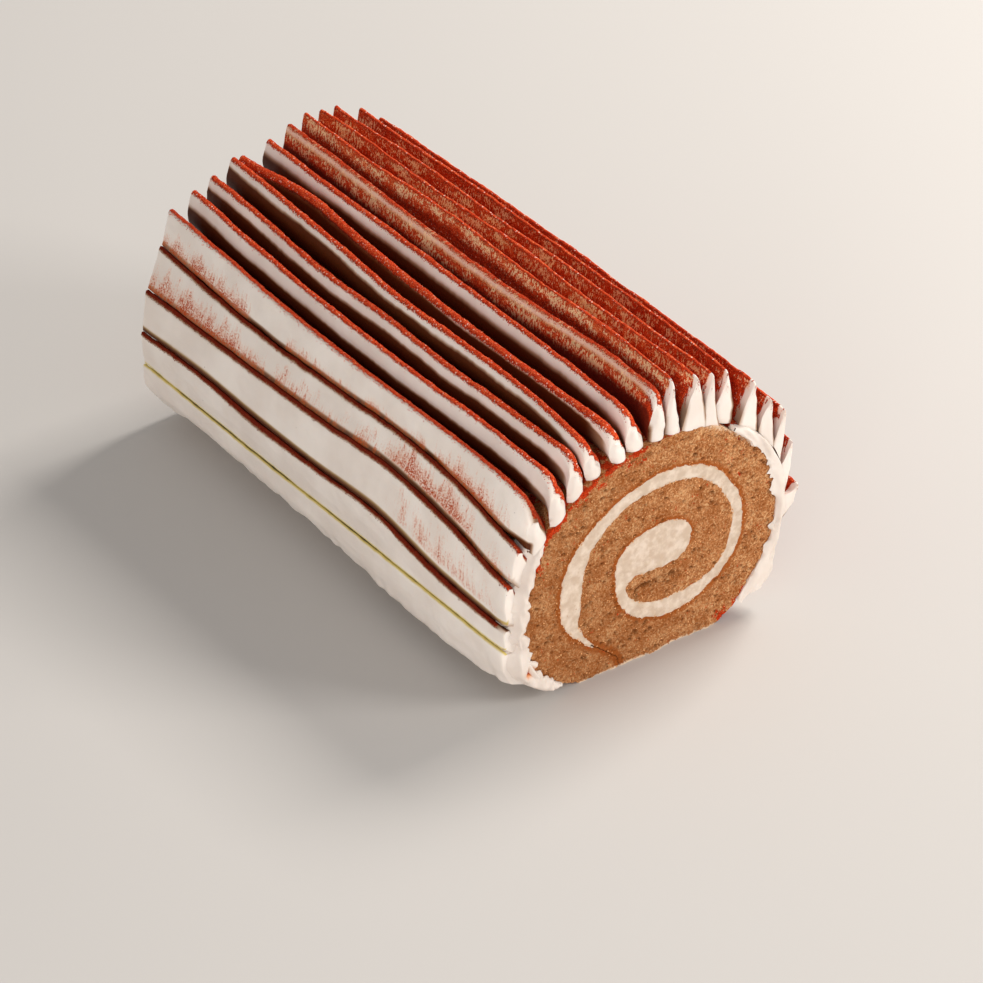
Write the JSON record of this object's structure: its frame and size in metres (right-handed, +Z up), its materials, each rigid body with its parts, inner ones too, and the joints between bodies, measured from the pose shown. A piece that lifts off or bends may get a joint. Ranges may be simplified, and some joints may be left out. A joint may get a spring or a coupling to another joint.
{
  "type": "swiss roll cake",
  "caption": "Filled swiss roll cake, cut straight at both ends and piped lengthways with thin upturned cream ribs dusted with cocoa.",
  "frame": {"origin": "under the middle of the whole cake, on the plane that its flat base rests on", "axes": "+Z up, +Y along the roll from the front cut face (at -Y) to the back one, +X to the right seen from the front"},
  "size_m": [0.1072, 0.18, 0.0894],
  "materials": {
    "sponge": "matte",
    "filling": "satin",
    "cream": "satin",
    "dusted_cream": "matte"
  },
  "bodies": {
    "root": {"sponge": "sponge", "filling": "filling", "coat_right": "cream", "coat_left": "cream", "piped_rib_01": "cream", "piped_rib_02": "cream", "piped_rib_03": "cream", "piped_rib_04": "cream", "piped_rib_05": "cream", "piped_rib_06": "cream", "piped_rib_07": "cream", "piped_rib_08": "cream", "piped_rib_09": "cream", "piped_rib_10": "cream", "piped_rib_11": "cream", "piped_rib_12": "dusted_cream", "piped_rib_13": "dusted_cream", "piped_rib_14": "dusted_cream", "piped_rib_15": "dusted_cream", "piped_rib_16": "dusted_cream", "piped_rib_17": "dusted_cream", "piped_rib_18": "dusted_cream", "piped_rib_19": "dusted_cream", "piped_rib_20": "dusted_cream", "piped_rib_21": "dusted_cream", "piped_rib_22": "dusted_cream"}
  },
  "joints": []
}
